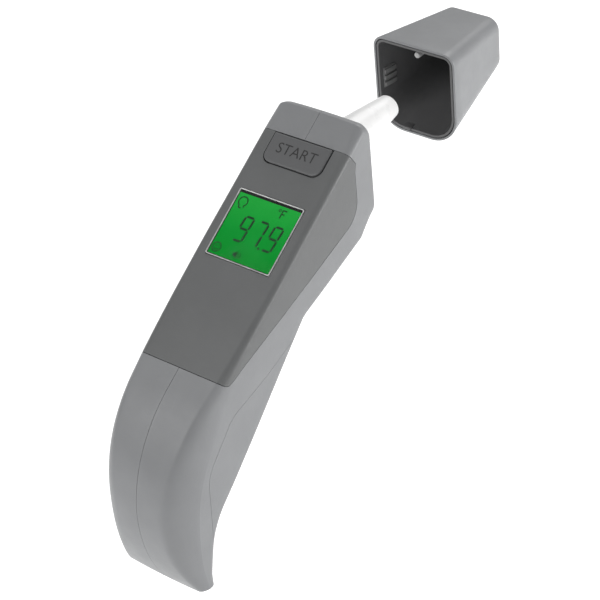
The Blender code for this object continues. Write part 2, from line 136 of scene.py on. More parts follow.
def turned(name, profile, place, sides=96):
    """A closed solid of revolution along the probe: profile points are (radius, distance along it)."""
    turn = Vector((0, 0, 1)).rotation_difference(Vector((0, 1, 0))).to_matrix()
    work = bmesh.new()
    rings = []
    for radius, along in profile:
        ring = []
        for i in range(sides):
            angle = 2 * math.pi * i / sides
            spot = Vector((radius * math.cos(angle), radius * math.sin(angle), along))
            ring.append(work.verts.new(turn @ spot + Vector(place)))
        rings.append(ring)
    for low, high in zip(rings, rings[1:] + rings[:1]):
        for i in range(sides):
            j = (i + 1) % sides
            work.faces.new((low[i], low[j], high[j], high[i]))
    return thing_of(name, work)


def rounded(corners, steps=8):
    """An outline of (a, b, radius) corners with each corner turned into an arc."""
    points = []
    for i, (a, b, radius) in enumerate(corners):
        here = Vector((a, b))
        before = Vector(corners[i - 1][:2]) - here
        after = Vector(corners[(i + 1) % len(corners)][:2]) - here
        if not radius:
            points.append(here)
            continue
        half = before.angle(after) / 2
        towards = (before.normalized() + after.normalized()).normalized()
        middle = here + towards * radius / math.sin(half)
        first = here + before.normalized() * radius / math.tan(half) - middle
        last = here + after.normalized() * radius / math.tan(half) - middle
        turn = first.angle_signed(last)
        for k in range(steps + 1):
            points.append(middle + Matrix.Rotation(-turn * k / steps, 2) @ first)
    return points


def across(name, outline, low=-30.0, high=30.0):
    """A side outline of (y, z) points drawn across from x = low to x = high."""
    return loft(name, [[(x, p[0], p[1]) for p in outline] for x in (low, high)])


def on_face(x, s, n):
    """A point on the front face: x across, s down from the datum, n out of the face."""
    return Vector((x, 0, 0)) + DOWN * s + OUT * n


def on_face_inset(outline, inset, height):
    """An outline of (x, s) on the front face, drawn in by an inset and raised to a height."""
    middle = sum((Vector(p) for p in outline), Vector((0, 0))) / len(outline)
    reach = [max(abs(p[k] - middle[k]) for p in outline) for k in (0, 1)]
    scale = [(reach[k] - inset) / reach[k] for k in (0, 1)]
    drawn_in = [[middle[k] + (p[k] - middle[k]) * scale[k] for k in (0, 1)] for p in outline]
    return [on_face(x, along, height) for x, along in drawn_in]


def plate(name, outline, layers):
    """A body on the front face: an outline of (x, s) through layers of (height, inset)."""
    return loft(name, [on_face_inset(outline, inset, height) for height, inset in layers])


def combine(body, cutter, operation="DIFFERENCE"):
    """Applies one Boolean now and removes the cutter."""
    step = body.modifiers.new("cut", "BOOLEAN")
    step.operation = operation
    step.solver = "MANIFOLD"
    step.object = cutter
    graph = bpy.context.evaluated_depsgraph_get()
    made = bpy.data.meshes.new_from_object(body.evaluated_get(graph))
    body.modifiers.remove(step)
    body.data = made
    bpy.data.objects.remove(cutter, do_unlink=True)
    return body


def copy(source, name):
    """A second object with a mesh of its own."""
    made = source.copy()
    made.data = source.data.copy()
    made.name = name
    bpy.context.scene.collection.objects.link(made)
    return made


def join(name, things):
    """One object from several, as one mesh of loose bodies."""
    work = bmesh.new()
    for part in things:
        work.from_mesh(part.data)
        bpy.data.objects.remove(part, do_unlink=True)
    mesh = bpy.data.meshes.new(name)
    work.to_mesh(mesh)
    work.free()
    made = bpy.data.objects.new(name, mesh)
    bpy.context.scene.collection.objects.link(made)
    shade(made)
    return made


# ---------------------------------------------------------------- the case's form


class Path:
    """A line in the side view that runs forward and down, made of straight runs and arcs."""

    def __init__(self, start, slope):
        self.runs = []
        self.point = Vector(start)
        self.slope = slope
        self.length = 0.0

    def go(self, length, turn=0.0):
        """A run of a length over which the slope grows by turn degrees."""
        self.runs.append((self.length, length, self.point.copy(), self.slope, turn))
        self.point = self.at(self.length + length)
        self.slope += turn
        self.length += length

    def bend(self, radius, turn):
        """An arc of a radius that adds turn degrees to the slope."""
        self.go(radius * math.radians(turn), turn)

    def at(self, distance):
        """The point at a distance from the start."""
        for begin, length, point, slope, turn in reversed(self.runs):
            if distance >= begin or begin == 0:
                break
        along = distance - begin
        first = math.radians(slope)
        if not turn:
            return point - Vector((math.cos(first), math.sin(first))) * along
        radius = length / math.radians(turn)
        last = first + along / radius
        across_turn = Vector((math.sin(first) - math.sin(last), math.cos(last) - math.cos(first)))
        return point + across_turn * radius


front_path = Path((RIM_Y, RIM_TOP), -25)
front_path.go(1.8)
front_path.bend(1.2, 57.7)
DATUM_AT = front_path.length + 10.2
front_path.go(100.3)
front_path.bend(46, 55.8)
front_path.bend(58, 30)

back_path = Path((RIM_Y, RIM_BOTTOM), 18.6)
back_path.go(40)
back_path.bend(6, 24.4)
back_path.go(62)
back_path.bend(25, 36)
back_path.go(13.6)

# Sections across the case: distance along the front, distance along the back, half width, radius of
# the front corner, depth of the crease on the side, and how far the corner runs into the crease.
STATIONS = [
    (0.0, 0.0, 17.2, 4.2, 7.0, 0.0),
    (1.4, 1.5, 17.2, 3.8, 7.0, 0.0),
    (3.0, 3.0, 17.25, 3.2, 7.0, 0.0),
    (DATUM_AT, 8.0, 17.35, 2.6, 7.0, 0.0),
    (DATUM_AT + 40, 27.0, 17.6, 2.4, 8.0, 0.0),
    (DATUM_AT + 66, 58.0, 17.6, 2.7, 12.0, 0.0),
    (DATUM_AT + COVER_LENGTH, 80.0, 17.8, 3.4, 14.8, 0.15),
    (DATUM_AT + 107, 98.0, 17.8, 5.8, 12.2, 0.75),
    (DATUM_AT + 134, 115.0, 17.3, 9.4, 11.0, 1.0),
    (DATUM_AT + 152, 128.0, 16.9, 7.2, 7.9, 1.0),
    (front_path.length, back_path.length, 17.0, 2.6, 3.2, 1.0),
]
CROWN = 0.5
BACK_RADIUS = 2.6
SIDE_DRAFT = 0.03
END_REACH = 0.9  # how far the rounded end stands beyond the last section
END_SHRINK = 0.3


def station(front_at):
    """The section's values at a distance along the front."""
    for row, following in zip(STATIONS, STATIONS[1:]):
        if front_at <= following[0]:
            break
    share = (front_at - row[0]) / (following[0] - row[0])
    return [a + (b - a) * share for a, b in zip(row, following)]


def smooth_station(front_at):
    """The same, averaged along the case so that the rows blend."""
    reach = min(7.0, front_at, front_path.length - front_at)
    rows = [station(front_at + reach * k / 6) for k in range(-6, 7)]
    return [sum(row[i] for row in rows) / len(rows) for i in range(len(rows[0]))]


def section(values, inset=0.0):
    """One closed ring across the case, inset all round by a wall."""
    front_at, back_at, half, corner, crease, into = values
    top = front_path.at(front_at)
    bottom = back_path.at(back_at)
    depth = (bottom - top).length
    down = (bottom - top) / depth
    rim = 1 - min(front_at / DATUM_AT, 1)
    back_corner = min(BACK_RADIUS + 5.4 * rim, depth / 4)
    crease = min(crease, depth - back_corner - 0.3)
    corner = min(corner, crease - 0.2)
    side = half - SIDE_DRAFT * (crease - corner) * (1 - into)
    flat = side - corner
    reach = corner + (crease - corner) * into
    sweep = math.pi / 2 * (1 - 0.42 * into)
    drop = CROWN * (flat / side) ** 2
    ring = [(flat * i / 6, CROWN * (flat * i / 6 / side) ** 2) for i in range(7)]
    for i in range(1, 13):
        angle = sweep * i / 12
        x = flat + corner * math.sin(angle) / math.sin(sweep)
        ring.append((x, drop + (reach - drop) * (1 - math.cos(angle)) / (1 - math.cos(sweep))))
    low = depth - back_corner
    for i in range(1, 7):
        d = reach + (crease - reach) * i / 6
        ring.append((side + (half - side) * i / 6, d + 0.02 * i))
    ring += [(half, crease + 0.15 + (low - crease - 0.15) * i / 6) for i in range(1, 6)]
    for i in range(9):
        angle = math.pi / 2 * i / 8
        ring.append((half - back_corner * (1 - math.cos(angle)), low + back_corner * math.sin(angle)))
    ring += [((half - back_corner) * (1 - i / 5), depth) for i in range(1, 6)]
    narrow = (half - inset) / half
    ring = [(x * narrow, inset + d * (depth - 2 * inset) / depth) for x, d in ring]
    ring += [(-x, d) for x, d in reversed(ring[1:-1])]
    return [(x, top[0] + down[0] * d, top[1] + down[1] * d) for x, d in ring]


def case_rings(inset=0.0, first=0.0, last=0.0, step=1.3):
    """Rings all along the case, closer together round the crest."""
    places = []
    at = first
    while at < front_path.length - last:
        places.append(at)
        at += 0.2 if 1.4 < at < 3.4 else step
    places.append(front_path.length - last)
    return [section(smooth_station(at), inset) for at in places]


def end_rings():
    """The rings that round the end of the grip off."""
    ring = section(smooth_station(front_path.length))
    middle = sum((Vector(p) for p in ring), Vector()) / len(ring)
    before = section(smooth_station(front_path.length - 2))
    beyond = (middle - sum((Vector(p) for p in before), Vector()) / len(before)).normalized()
    rings = []
    for angle in (15, 30, 45, 60, 75, 88):
        turn = math.radians(angle)
        reach = beyond * END_REACH * math.sin(turn)
        shrink = 1 - END_SHRINK * (1 - math.cos(turn))
        rings.append([middle + (Vector(p) - middle) * shrink + reach for p in ring])
    return rings


def cover_outline(grow=0.0):
    """The front cover in the side view. Its wings run back beside the head."""
    down = Vector((DOWN[1], DOWN[2]))
    out = Vector((OUT[1], OUT[2]))
    start = down * -grow
    end = down * (COVER_LENGTH + grow)
    wing = 2.5 + grow
    return rounded(
        [
            (*(start + out * 6), 0),
            (*(start - out * 6), 0),
            (wing, -8.1 + grow, 3),
            (wing, -24.0 - grow, 9),
            (-59.5, -44.4 - grow * 1.1, 0),
            (-66.9 - grow, -47.2 - grow, 2.5),
            (*(end + out * 6), 0),
        ],
        12,
    )


def door_outline(grow=0.0):
    """The battery door in the side view: the whole back of the grip below the neck."""
    return rounded(
        [
            (-27.7 + grow, -46.8 + grow, 0),
            (-49.5, -54.2 + grow, 12),
            (-67.5 - grow * 0.5, -58.6 + grow, 12),
            (-81.2 - grow, -72.6 + grow, 12),
            (-82.6 - grow, -102.6 - grow, 0),
            (-60.0, -128.0, 0),
            (-10.0, -70.0, 0),
        ],
        12,
    )


# ---------------------------------------------------------------- materials


class Nodes:
    """A material under construction."""

    def __init__(self, name, colour, roughness, **sockets):
        self.material = bpy.data.materials.new(name)
        self.material.use_nodes = True
        self.tree = self.material.node_tree
        self.shader = self.tree.nodes["Principled BSDF"]
        self.shader.inputs["Base Color"].default_value = (*colour, 1)
        self.shader.inputs["Roughness"].default_value = roughness
        for socket, value in sockets.items():
            self.shader.inputs[socket.replace("_", " ")].default_value = value
        self.coords = self.add("ShaderNodeTexCoord").outputs["Object"]

    def add(self, kind, **values):
        node = self.tree.nodes.new(kind)
        for name, value in values.items():
            setattr(node, name, value)
        return node

    def link(self, out, into):
        self.tree.links.new(out, into)

    def noise(self, scale, detail=2.0, coords=None):
        node = self.add("ShaderNodeTexNoise")
        node.inputs["Scale"].default_value = scale
        node.inputs["Detail"].default_value = detail
        self.link(coords or self.coords, node.inputs["Vector"])
        return node.outputs["Fac"]

    def ramp(self, source, stops):
        """A ramp through (position, value) or (position, colour) stops."""
        node = self.add("ShaderNodeValToRGB")
        marks = node.color_ramp.elements
        while len(marks) < len(stops):
            marks.new(0.5)
        for mark, (position, value) in zip(marks, stops):
            mark.position = position
            mark.color = (*value, 1) if isinstance(value, tuple) else (value, value, value, 1)
        self.link(source, node.inputs["Fac"])
        return node.outputs["Color"]

    def mix(self, first, second, share, kind="MIX"):
        node = self.add("ShaderNodeMix", data_type="RGBA", blend_type=kind)
        for value, socket in ((first, 6), (second, 7), (share, 0)):
            if isinstance(value, bpy.types.NodeSocket):
                self.link(value, node.inputs[socket])
            elif socket:
                node.inputs[socket].default_value = (*value, 1)
            else:
                node.inputs[socket].default_value = value
        return node.outputs[2]

    def bump(self, height, depth, before=None):
        """Relief of a depth in millimetres."""
        node = self.add("ShaderNodeBump")
        node.inputs["Distance"].default_value = depth * MM
        self.link(height, node.inputs["Height"])
        if before:
            self.link(before, node.inputs["Normal"])
        return node.outputs["Normal"]

    def colour(self, source):
        self.link(source, self.shader.inputs["Base Color"])

    def rough(self, source):
        self.link(source, self.shader.inputs["Roughness"])

    def normal(self, source):
        self.link(source, self.shader.inputs["Normal"])


def lift(colour, factor):
    return tuple(min(c * factor, 1.0) for c in colour)


def plastic(name, colour, roughness, grain=0.02, wear=1.18):
    """Moulded plastic: fine spark-eroded grain, faint mottling, dust-soft gloss and paler edges."""
    made = Nodes(name, colour, roughness)
    mottle = made.noise(90, 4)
    tint = made.ramp(mottle, [(0.3, lift(colour, 0.965)), (0.7, lift(colour, 1.035))])
    edge = made.ramp(made.add("ShaderNodeNewGeometry").outputs["Pointiness"], [(0.53, 0.0), (0.6, 1.0)])
    rub = made.mix(edge, made.noise(700, 3), 1.0, "MULTIPLY")
    made.colour(made.mix(tint, lift(colour, wear), rub))
    gloss = made.noise(220, 3)
    made.rough(made.ramp(gloss, [(0.3, roughness - 0.04), (0.7, roughness + 0.05)]))
    fine = made.noise(5200, 2)
    ripple = made.noise(900, 2)
    made.normal(made.bump(fine, grain, made.bump(ripple, grain * 1.2)))
    return made.material


# Colours below are linear.
CASE = plastic("case_plastic", (0.255, 0.26, 0.268), 0.4)
COVER = plastic("cover_plastic", (0.142, 0.146, 0.147), 0.38)
BUTTON_SKIN = plastic("button_plastic", (0.125, 0.127, 0.13), 0.42)
LINER = plastic("liner_plastic", (0.105, 0.105, 0.107), 0.4, 0.03)
RIB = plastic("rib_plastic", (0.17, 0.17, 0.17), 0.45)
PIN = plastic("pin_plastic", (0.4, 0.4, 0.4), 0.45)
WHITE = plastic("probe_plastic", (0.9, 0.9, 0.895), 0.3, 0.006, 1.0)
INNER = plastic("inner_plastic", (0.02, 0.02, 0.021), 0.5, 0.03)
PALE = plastic("pale_plastic", (0.62, 0.62, 0.6), 0.45)


def engraved_ink():
    made = Nodes("label_ink", (0.022, 0.023, 0.024), 0.6)
    made.colour(made.ramp(made.noise(2600, 3), [(0.35, 0.017), (0.65, 0.032)]))
    made.normal(made.bump(made.noise(6000, 2), 0.02))
    return made.material


def painted_rim_highlight():
    """The chamfer round the window, coloured pale: a painted highlight for the light caught along its
    edge.
    """
    made = Nodes("window_painted_highlight", (0.62, 0.64, 0.63), 0.22)
    made.colour(made.ramp(made.noise(500, 3), [(0.3, 0.5), (0.7, 0.75)]))
    made.normal(made.bump(made.noise(1500, 2), 0.01))
    return made.material


def lcd_green():
    """A backlit panel: brightest towards the lamp behind its upper edge, with a faint woven relief."""
    made = Nodes("lcd_green", (0.01, 0.2, 0.035), 0.45, Specular_IOR_Level=0.1)
    split = made.add("ShaderNodeSeparateXYZ")
    made.link(made.coords, split.inputs["Vector"])
    span = made.add("ShaderNodeMapRange")
    span.inputs["From Min"].default_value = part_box("display_glass")[0][2]
    span.inputs["From Max"].default_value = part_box("display_glass")[1][2]
    made.link(split.outputs["Z"], span.inputs["Value"])
    glow = made.ramp(
        span.outputs["Result"],
        [(0.0, (0.0, 0.19, 0.014)), (0.5, (0.001, 0.235, 0.024)), (1.0, (0.012, 0.31, 0.038))],
    )
    cloud = made.ramp(made.noise(160, 2), [(0.3, 0.92), (0.7, 1.0)])
    light = made.mix(glow, cloud, 1.0, "MULTIPLY")
    made.colour(light)
    made.link(light, made.shader.inputs["Emission Color"])
    made.shader.inputs["Emission Strength"].default_value = 0.82
    weave = made.add("ShaderNodeTexBrick")
    weave.inputs["Scale"].default_value = 5000
    made.link(made.coords, weave.inputs["Vector"])
    made.normal(made.bump(weave.outputs["Fac"], 0.004))
    return made.material


def lcd_dark():
    made = Nodes("lcd_segment", (0.002, 0.03, 0.008), 0.35)
    tints = [(0.3, (0.0015, 0.026, 0.007)), (0.7, (0.003, 0.036, 0.01))]
    made.colour(made.ramp(made.noise(1200, 2), tints))
    made.shader.inputs["Emission Color"].default_value = (0.003, 0.06, 0.014, 1)
    made.shader.inputs["Emission Strength"].default_value = 0.4
    return made.material


def lens():
    made = Nodes("clear_lens", (0.01, 0.01, 0.01), 0.06, Specular_IOR_Level=0.25)
    made.shader.inputs["Alpha"].default_value = 0.1
    made.rough(made.ramp(made.noise(300, 3), [(0.3, 0.04), (0.7, 0.1)]))
    made.normal(made.bump(made.noise(60, 1), 0.01))
    return made.material


def metal(name, colour, roughness):
    """Drawn or plated metal with fine scratches along one way and slight tarnish."""
    made = Nodes(name, colour, roughness, Metallic=1.0)
    stretch = made.add("ShaderNodeMapping")
    stretch.inputs["Scale"].default_value = (1, 0.08, 1)
    made.link(made.coords, stretch.inputs["Vector"])
    lines = made.noise(1800, 3, stretch.outputs["Vector"])
    tarnish = made.noise(250, 4)
    made.colour(made.ramp(tarnish, [(0.3, lift(colour, 0.8)), (0.65, colour)]))
    made.rough(made.ramp(lines, [(0.3, roughness - 0.08), (0.7, roughness + 0.12)]))
    made.normal(made.bump(lines, 0.01))
    return made.material


def board():
    """Solder mask over faint copper tracks."""
    made = Nodes("board_green", (0.015, 0.13, 0.05), 0.35)
    tracks = made.add("ShaderNodeTexBrick")
    tracks.inputs["Scale"].default_value = 420
    tracks.inputs["Mortar Size"].default_value = 0.06
    made.link(made.coords, tracks.inputs["Vector"])
    made.colour(made.mix((0.012, 0.11, 0.04), (0.03, 0.2, 0.08), tracks.outputs["Fac"]))
    made.normal(made.bump(tracks.outputs["Fac"], 0.03))
    return made.material


def cell_wrap():
    """A printed cell sleeve: a dark body with a copper band at one end."""
    made = Nodes("cell_wrap", (0.03, 0.04, 0.07), 0.25)
    span = made.add("ShaderNodeMapRange")
    low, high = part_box("cell_left")
    span.inputs["From Min"].default_value = low[2]
    span.inputs["From Max"].default_value = high[2]
    split = made.add("ShaderNodeSeparateXYZ")
    made.link(made.coords, split.inputs["Vector"])
    made.link(split.outputs["Z"], span.inputs["Value"])
    dark = (0.025, 0.03, 0.045)
    copper = (0.5, 0.22, 0.07)
    silver = (0.7, 0.7, 0.68)
    stops = [(0.0, dark), (0.68, dark), (0.7, silver), (0.715, copper), (1.0, copper)]
    band = made.ramp(span.outputs["Result"], stops)
    scuffs = made.ramp(made.noise(600, 3), [(0.3, 0.85), (0.7, 1.0)])
    made.colour(made.mix(band, scuffs, 1.0, "MULTIPLY"))
    made.normal(made.bump(made.noise(1500, 2), 0.01))
    return made.material


MASK = plastic("window_black", (0.012, 0.012, 0.013), 0.3, 0.004, 1.0)
INK = engraved_ink()
# a pale colour round the window: a painted highlight
EDGE = painted_rim_highlight()
LCD = lcd_green()
SEGMENT = lcd_dark()
LENS = lens()
STEEL = metal("plated_steel", (0.58, 0.58, 0.57), 0.28)
BRASS = metal("brass", (0.68, 0.5, 0.22), 0.3)
BOARD = board()
WRAP = cell_wrap()


def finish(piece, material, body, nodes=()):
    """Gives a piece its material and its body, and hides the nodes that it stands for."""
    piece.data.materials.clear()
    piece.data.materials.append(material)
    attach(piece, body)
    if nodes:
        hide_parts(*nodes)
    return piece


# ---------------------------------------------------------------- case, cover and door


def make_case():
    """The halves, the front cover and the battery door, all cut from one hollow form."""
    form = loft("form", case_rings() + end_rings())
    combine(form, loft("hollow", case_rings(WALL, 1.0, 3.0, 3.0)))
    mouth = section(smooth_station(0), 1.5)
    combine(form, loft("mouth", [[(p[0], y, p[2]) for p in mouth] for y in (RIM_Y - 6, RIM_Y + 1)]))

    cover = copy(form, "face_cover")
    combine(cover, across("cover_area", cover_outline()), "INTERSECT")
    door = copy(form, "door_skin")
    combine(door, across("door_area", door_outline()), "INTERSECT")
    combine(form, across("cover_seat", cover_outline(GAP)))
    combine(form, across("door_seat", door_outline(DOOR_GAP)))
    finish_halves(form)
    finish_tongue(form)
    finish_cover(cover)
    finish_door(door)


# A square in the side view, larger than the case.
SIDE_VIEW = [Vector(corner) for corner in ((-130, -150), (-130, 40), (40, 40), (40, -150))]


def finish_halves(form):
    """The two case halves, each the form on its own side of the joint."""
    for name, node, low, high in (
        ("shell_left", "left_case", -30, -SEAM),
        ("shell_right", "right_case", SEAM, 30),
    ):
        half = copy(form, name)
        combine(half, across("side", SIDE_VIEW, low, high), "INTERSECT")
        shade(half)
        finish(half, CASE, "thermometer", [node])


def finish_tongue(form):
    """The tongue behind the joint, which keeps light from passing through it."""
    depth, half_width = 0.6, 0.4
    combine(form, loft("inner_form", case_rings(depth, 1.0, 1.0)), "INTERSECT")
    combine(form, across("cover_room", cover_outline(GAP + 0.4)))
    combine(form, across("door_room", door_outline(DOOR_GAP + 0.4)))
    combine(form, across("middle", SIDE_VIEW, -half_width, half_width), "INTERSECT")
    form.name = "seam_tongue"
    shade(form)
    finish(form, CASE, "thermometer")


def finish_cover(cover):
    """The front cover with its window and the button's slot cut through."""
    through = [(-8, 0), (8, 0)]
    slot_gap, slot_above = 0.42, 3.0
    combine(cover, plate("window_cut", window_outline(), through))
    combine(cover, plate("button_cut", button_outline(slot_gap, slot_above), through))
    shade(cover)
    finish(cover, COVER, "thermometer", ["front_cover"])


RIDGES = 6
RIDGE_START = 54.0  # of the first ridge, along the back
RIDGE_PITCH = 1.9
RIDGE_HALF = 8.5
BACK_SLOPE = math.radians(43)


def finish_door(door):
    for k in range(RIDGES):
        add_ridge(door, k)
    shade(door)
    finish(door, CASE, "door", ["battery_door"])


def add_ridge(door, k):
    """A thumb ridge across the back of the battery door, tapered at both ends."""
    point = back_path.at(RIDGE_START + RIDGE_PITCH * k)
    half = RIDGE_HALF - 0.5 * abs(k - (RIDGES - 1) / 2)
    along = Vector((0, -math.cos(BACK_SLOPE), -math.sin(BACK_SLOPE)))
    out = Vector((0, math.sin(BACK_SLOPE), -math.cos(BACK_SLOPE)))
    middle = Vector((0, point[0], point[1]))
    sides = 12
    rings = []
    for x, size in ((-half - 0.4, 0.25), (-half, 0.8), (half, 0.8), (half + 0.4, 0.25)):
        ring = []
        for i in range(sides):
            angle = 2 * math.pi * i / sides
            spot = along * math.cos(angle) * 0.6 * size + out * math.sin(angle) * 0.5 * size
            ring.append(middle + Vector((x, 0, 0)) + spot)
        rings.append(ring)
    combine(door, loft("ridge", rings), "UNION")


def button_outline(grow=0.0, above=0.0):
    """The start button: square at the top edge of the cover, with rounded lower corners."""
    wide, tall = BUTTON
    half = wide / 2 + grow
    low = BUTTON_START + tall + grow
    top = BUTTON_START - above
    corner = 3.1 + grow
    return rounded([(-half, top, 0.3), (half, top, 0.3), (half, low, corner), (-half, low, corner)], 10)


def make_button():
    layers = [(-3.0, 0), (-0.25, 0), (0.0, 0.04), (0.12, 0.14), (0.2, 0.3), (0.22, 0.6)]
    button = plate("button_cap", button_outline(), layers)
    finish(button, BUTTON_SKIN, "button", ["start_button"])
    half = BUTTON[0] / 2 + 0.7
    top, low = 0.4, 11.3
    edge = rounded([(-half, top, 0.3), (half, top, 0.3), (half, low, 3), (-half, low, 3)])
    skirt = plate("button_skirt", edge, [(-3.9, 0), (-3.1, 0)])
    finish(skirt, BUTTON_SKIN, "button")
    make_label()


def make_label():
    """The control word on the button, a little above its middle."""
    words = bpy.data.curves.new("label", "FONT")
    words.body = "START"
    words.align_x = "CENTER"
    words.align_y = "CENTER"
    words.size = 5.3 * MM
    words.space_character = 1.02
    words.extrude = 0.03 * MM
    words.offset = -0.035 * MM
    words.resolution_u = 6
    source = bpy.data.objects.new("label_source", words)
    bpy.context.scene.collection.objects.link(source)
    graph = bpy.context.evaluated_depsgraph_get()
    mesh = bpy.data.meshes.new_from_object(source.evaluated_get(graph))
    bpy.data.objects.remove(source, do_unlink=True)
    middle = BUTTON_START + BUTTON[1] / 2
    spot = (DATUM + on_face(0, middle - 0.3, 0.225)) * MM
    mesh.transform(Matrix.Translation(spot) @ Matrix.Rotation(SLOPE, 4, "X"))
    label = bpy.data.objects.new("button_label", mesh)
    bpy.context.scene.collection.objects.link(label)
    finish(label, INK, "button")


# ---------------------------------------------------------------- window and display


def window_outline():
    half, low = WINDOW[0] / 2, WINDOW_START + WINDOW[1]
    corner = 0.5
    return rounded(
        [
            (-half, WINDOW_START, corner),
            (half, WINDOW_START, corner),
            (half, low, corner),
            (-half, low, corner),
        ]
    )


def ring_plate(name, outline, inner, outer, low, high):
    """A narrow frame that follows an outline, from one inset to another, with a sloping top."""
    work = bmesh.new()
    fall = 0.1
    corners = ((outer, low), (outer, high), (inner, high - fall), (inner, low))
    rows = []
    for inset, height in corners:
        rows.append([work.verts.new(p) for p in on_face_inset(outline, inset, height)])
    for first, second in zip(rows, rows[1:] + rows[:1]):
        for i in range(len(outline)):
            j = (i + 1) % len(outline)
            work.faces.new((first[i], first[j], second[j], second[i]))
    return thing_of(name, work)


LCD_TOP = -0.3  # height of the printed layer, under the lens
LCD_LAYER = 0.05  # its thickness


def slab(work, corners):
    """A flat figure on the display, with (x, s) corners."""
    lower = [work.verts.new(on_face(p[0], p[1], LCD_TOP - LCD_LAYER)) for p in corners]
    upper = [work.verts.new(on_face(p[0], p[1], LCD_TOP)) for p in corners]
    work.faces.new(lower)
    work.faces.new(upper)
    for i in range(len(corners)):
        j = (i + 1) % len(corners)
        work.faces.new((lower[i], lower[j], upper[j], upper[i]))


def strip(work, points, width):
    """A line of a width through points (x, s) on the display."""
    for (x0, s0), (x1, s1) in zip(points, points[1:]):
        along = Vector((x1 - x0, s1 - s0)).normalized()
        side = Vector((-along[1], along[0])) * width / 2
        first, last = Vector((x0, s0)), Vector((x1, s1))
        slab(work, [first + side, last + side, last - side, first - side])


def arc(x, s, radius, first, last, steps):
    """Points on an arc about (x, s), from one angle to another in degrees."""
    turns = [math.radians(first + (last - first) * i / steps) for i in range(steps + 1)]
    return [(x + radius * math.cos(t), s - radius * math.sin(t)) for t in turns]


SEGMENTS = {"9": "abcdfg", "7": "abc"}
DIGIT = (4.1, 9.3)  # width and height
DIGIT_BAR = 0.78
DIGIT_GAP = 0.16
DIGIT_LEAN = 0.07  # to the right, for each unit of height


def digit(work, x, top, figure):
    """A seven-segment figure that leans slightly to the right."""
    wide, tall = DIGIT
    half = DIGIT_BAR / 2
    middle = top + tall / 2

    def bar(points):
        slab(work, [(px + (middle - ps) * DIGIT_LEAN, ps) for px, ps in points])

    left, right = x - wide / 2 + half, x + wide / 2 - half
    rows = [top + half, middle, top + tall - half]
    for name, row in (("a", rows[0]), ("g", rows[1]), ("d", rows[2])):
        if name in SEGMENTS[figure]:
            a, b = left + DIGIT_GAP, right - DIGIT_GAP
            over = [(a, row), (a + half, row - half), (b - half, row - half)]
            under = [(b, row), (b - half, row + half), (a + half, row + half)]
            bar(over + under)
    for name, side, first, last in (
        ("f", left, rows[0], rows[1]),
        ("b", right, rows[0], rows[1]),
        ("e", left, rows[1], rows[2]),
        ("c", right, rows[1], rows[2]),
    ):
        if name in SEGMENTS[figure]:
            a, b = first + DIGIT_GAP, last - DIGIT_GAP
            outer = [(side, a), (side + half, a + half), (side + half, b - half)]
            inner = [(side, b), (side - half, b - half), (side - half, a + half)]
            bar(outer + inner)


def make_display():
    """The lens in its edge with a painted highlight, and the panel behind it with its reading and its
    signs.
    """
    hole = window_outline()
    lens_piece = plate("window_lens", hole, [(-0.26, 0.6), (-0.12, 0.6), (-0.08, 0.66)])
    finish(lens_piece, LENS, "thermometer", ["display_window"])
    # The rim round the lens is coloured pale as a painted highlight.
    edge = ring_plate("window_rim", hole, 0.55, 0.25, -1.0, -0.06)
    finish(edge, EDGE, "thermometer")
    mask = plate("window_mask", hole, [(-1.2, 0.55), (-0.45, 0.55)])
    finish(mask, MASK, "thermometer")
    margin, margin_top = 0.85, 1.5
    half = WINDOW[0] / 2 - margin
    high, low = WINDOW_START + margin_top, WINDOW_START + WINDOW[1] - margin
    corner = 0.2
    upper = [(-half, high, corner), (half, high, corner)]
    lower = [(half, low, corner), (-half, low, corner)]
    glass = plate("lcd_panel", rounded(upper + lower, 3), [(-0.6, 0), (-0.36, 0)])
    finish(glass, LCD, "thermometer", ["display_glass"])
    make_reading()
    make_signs()


def make_reading():
    """Three figures with a point before the last."""
    top = WINDOW_START + 8.1
    work = bmesh.new()
    for x, figure in ((-4.1, "9"), (1.7, "7"), (7.5, "9")):
        digit(work, x, top, figure)
    x, s, size = 4.0, WINDOW_START + 16.7, 0.75
    slab(work, [(x, s), (x + size, s), (x + size, s + size), (x, s + size)])
    finish(thing_of("lcd_reading", work), SEGMENT, "thermometer")


def make_signs():
    """A head, a degree sign, a face and a loudspeaker, round the edge of the display."""
    top = WINDOW_START
    work = bmesh.new()
    line = 0.4
    strip(work, arc(-9.4, top + 4.3, 1.65, -60, 240, 20), line)
    strip(work, [(-10.25, top + 5.7), (-10.1, top + 6.6), (-9.2, top + 6.6)], line)
    strip(work, [(-8.55, top + 5.7), (-8.2, top + 6.3)], 0.3)

    letter = 0.42
    strip(work, arc(4.7, top + 3.0, 0.42, 0, 360, 12), 0.22)
    strip(work, [(5.8, top + 5.6), (5.8, top + 2.7), (7.3, top + 2.7)], letter)
    strip(work, [(5.8, top + 4.05), (6.95, top + 4.05)], letter)

    face_x, face_s, line = -10.0, top + 21.1, 0.34
    strip(work, arc(face_x, face_s, 1.6, 0, 360, 24), line)
    strip(work, arc(face_x, face_s, 0.8, 200, 340, 10), 0.3)
    for x in (face_x - 0.5, face_x + 0.5):
        strip(work, [(x, face_s - 0.8), (x, face_s - 0.3)], line)

    speaker = [(-3.2, 20.8), (-2.5, 20.8), (-1.7, 20.0), (-1.7, 22.8), (-2.5, 22.0), (-3.2, 22.0)]
    slab(work, [(x, top + s) for x, s in speaker])
    for radius in (0.8, 1.5):
        strip(work, arc(-1.9, top + 21.4, radius, -40, 40, 6), 0.3)
    finish(thing_of("lcd_signs", work), SEGMENT, "thermometer")


# ---------------------------------------------------------------- probe and cap


